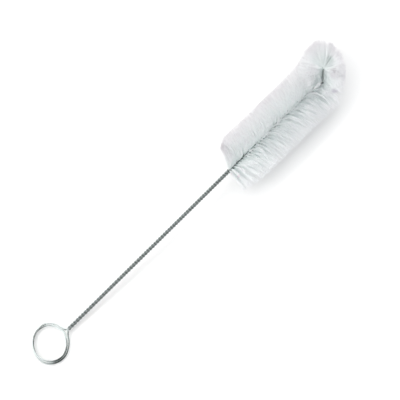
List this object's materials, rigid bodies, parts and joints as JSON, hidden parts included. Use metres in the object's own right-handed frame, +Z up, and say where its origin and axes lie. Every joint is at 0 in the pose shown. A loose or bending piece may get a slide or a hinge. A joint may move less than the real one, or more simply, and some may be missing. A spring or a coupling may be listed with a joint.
{
  "type": "test tube brush",
  "caption": "Test tube brush with a looped wire handle, a twisted wire stem, and a round bristle head whose end is bent up to sweep a tube's bottom.",
  "frame": {"origin": "centre of the brush's outline seen from above, on the table it lies on", "axes": "+X along the brush from the ring handle to the bristle head, +Z up from the table, +Y to the side that the bent tip leans to"},
  "size_m": [0.2314, 0.0334, 0.0366],
  "materials": {
    "wire": "galvanised steel wire, satin",
    "bristles": "translucent white nylon filaments"
  },
  "bodies": {
    "root": {"wire": "wire", "bristles": "bristles"}
  },
  "joints": []
}
